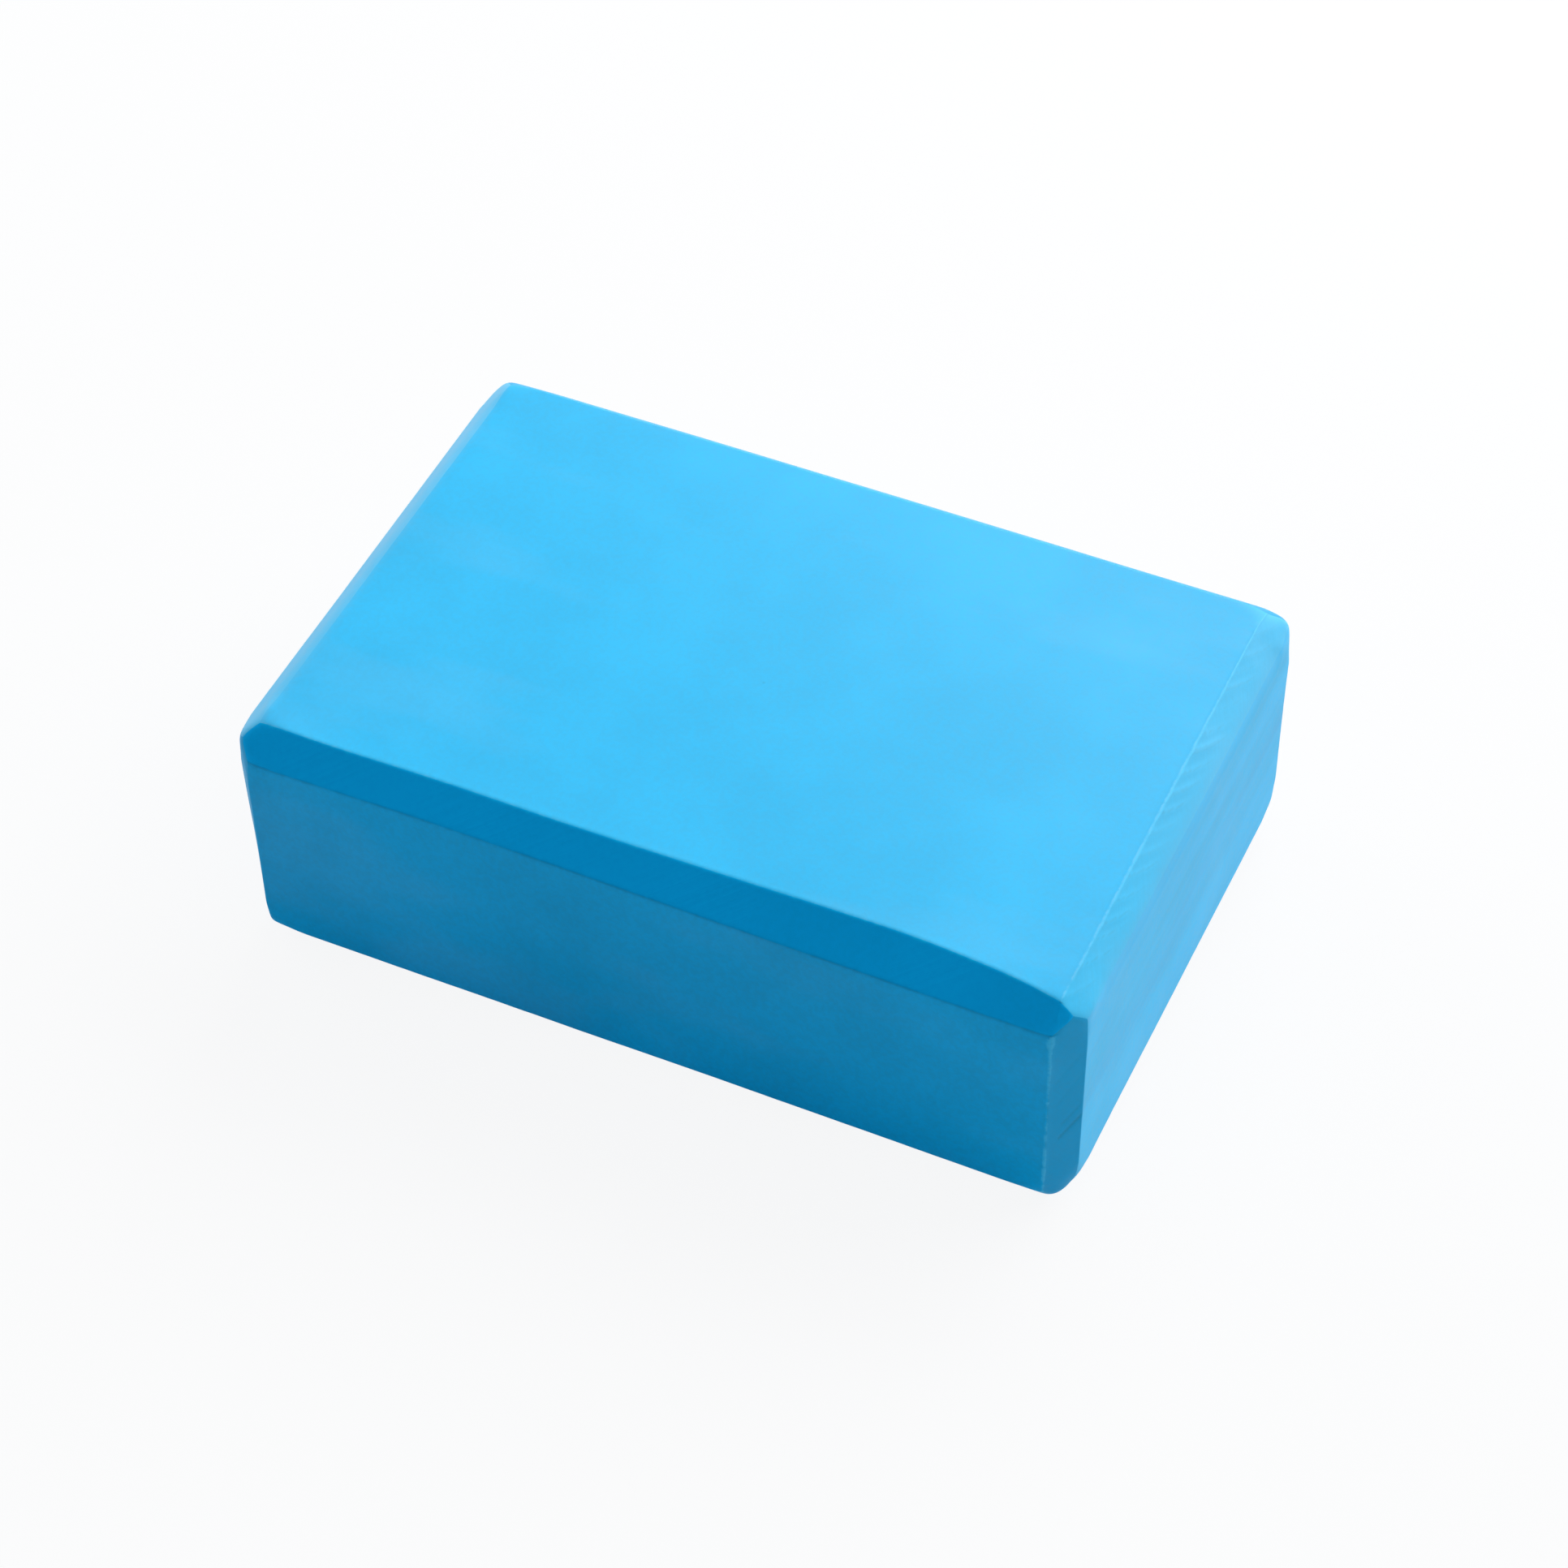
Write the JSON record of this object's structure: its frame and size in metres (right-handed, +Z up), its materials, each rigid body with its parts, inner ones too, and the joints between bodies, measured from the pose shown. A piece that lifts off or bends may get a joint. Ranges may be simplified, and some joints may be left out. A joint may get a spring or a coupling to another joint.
{
  "type": "yoga block",
  "caption": "Sky-blue foam yoga block, a solid brick with all edges trimmed at 45 degrees and mitred at the corners, to rest on any face under a hand, foot or hip.",
  "frame": {"origin": "middle of the underside, on the surface that the block rests on", "axes": "+X along the length to the right end, +Y along the width to the back, +Z up through the thickness"},
  "size_m": [0.2286, 0.1524, 0.0762],
  "materials": {
    "foam": "matte closed-cell EVA foam, sawn faces and planed edges"
  },
  "bodies": {
    "root": {"foam_block": "foam"}
  },
  "joints": []
}
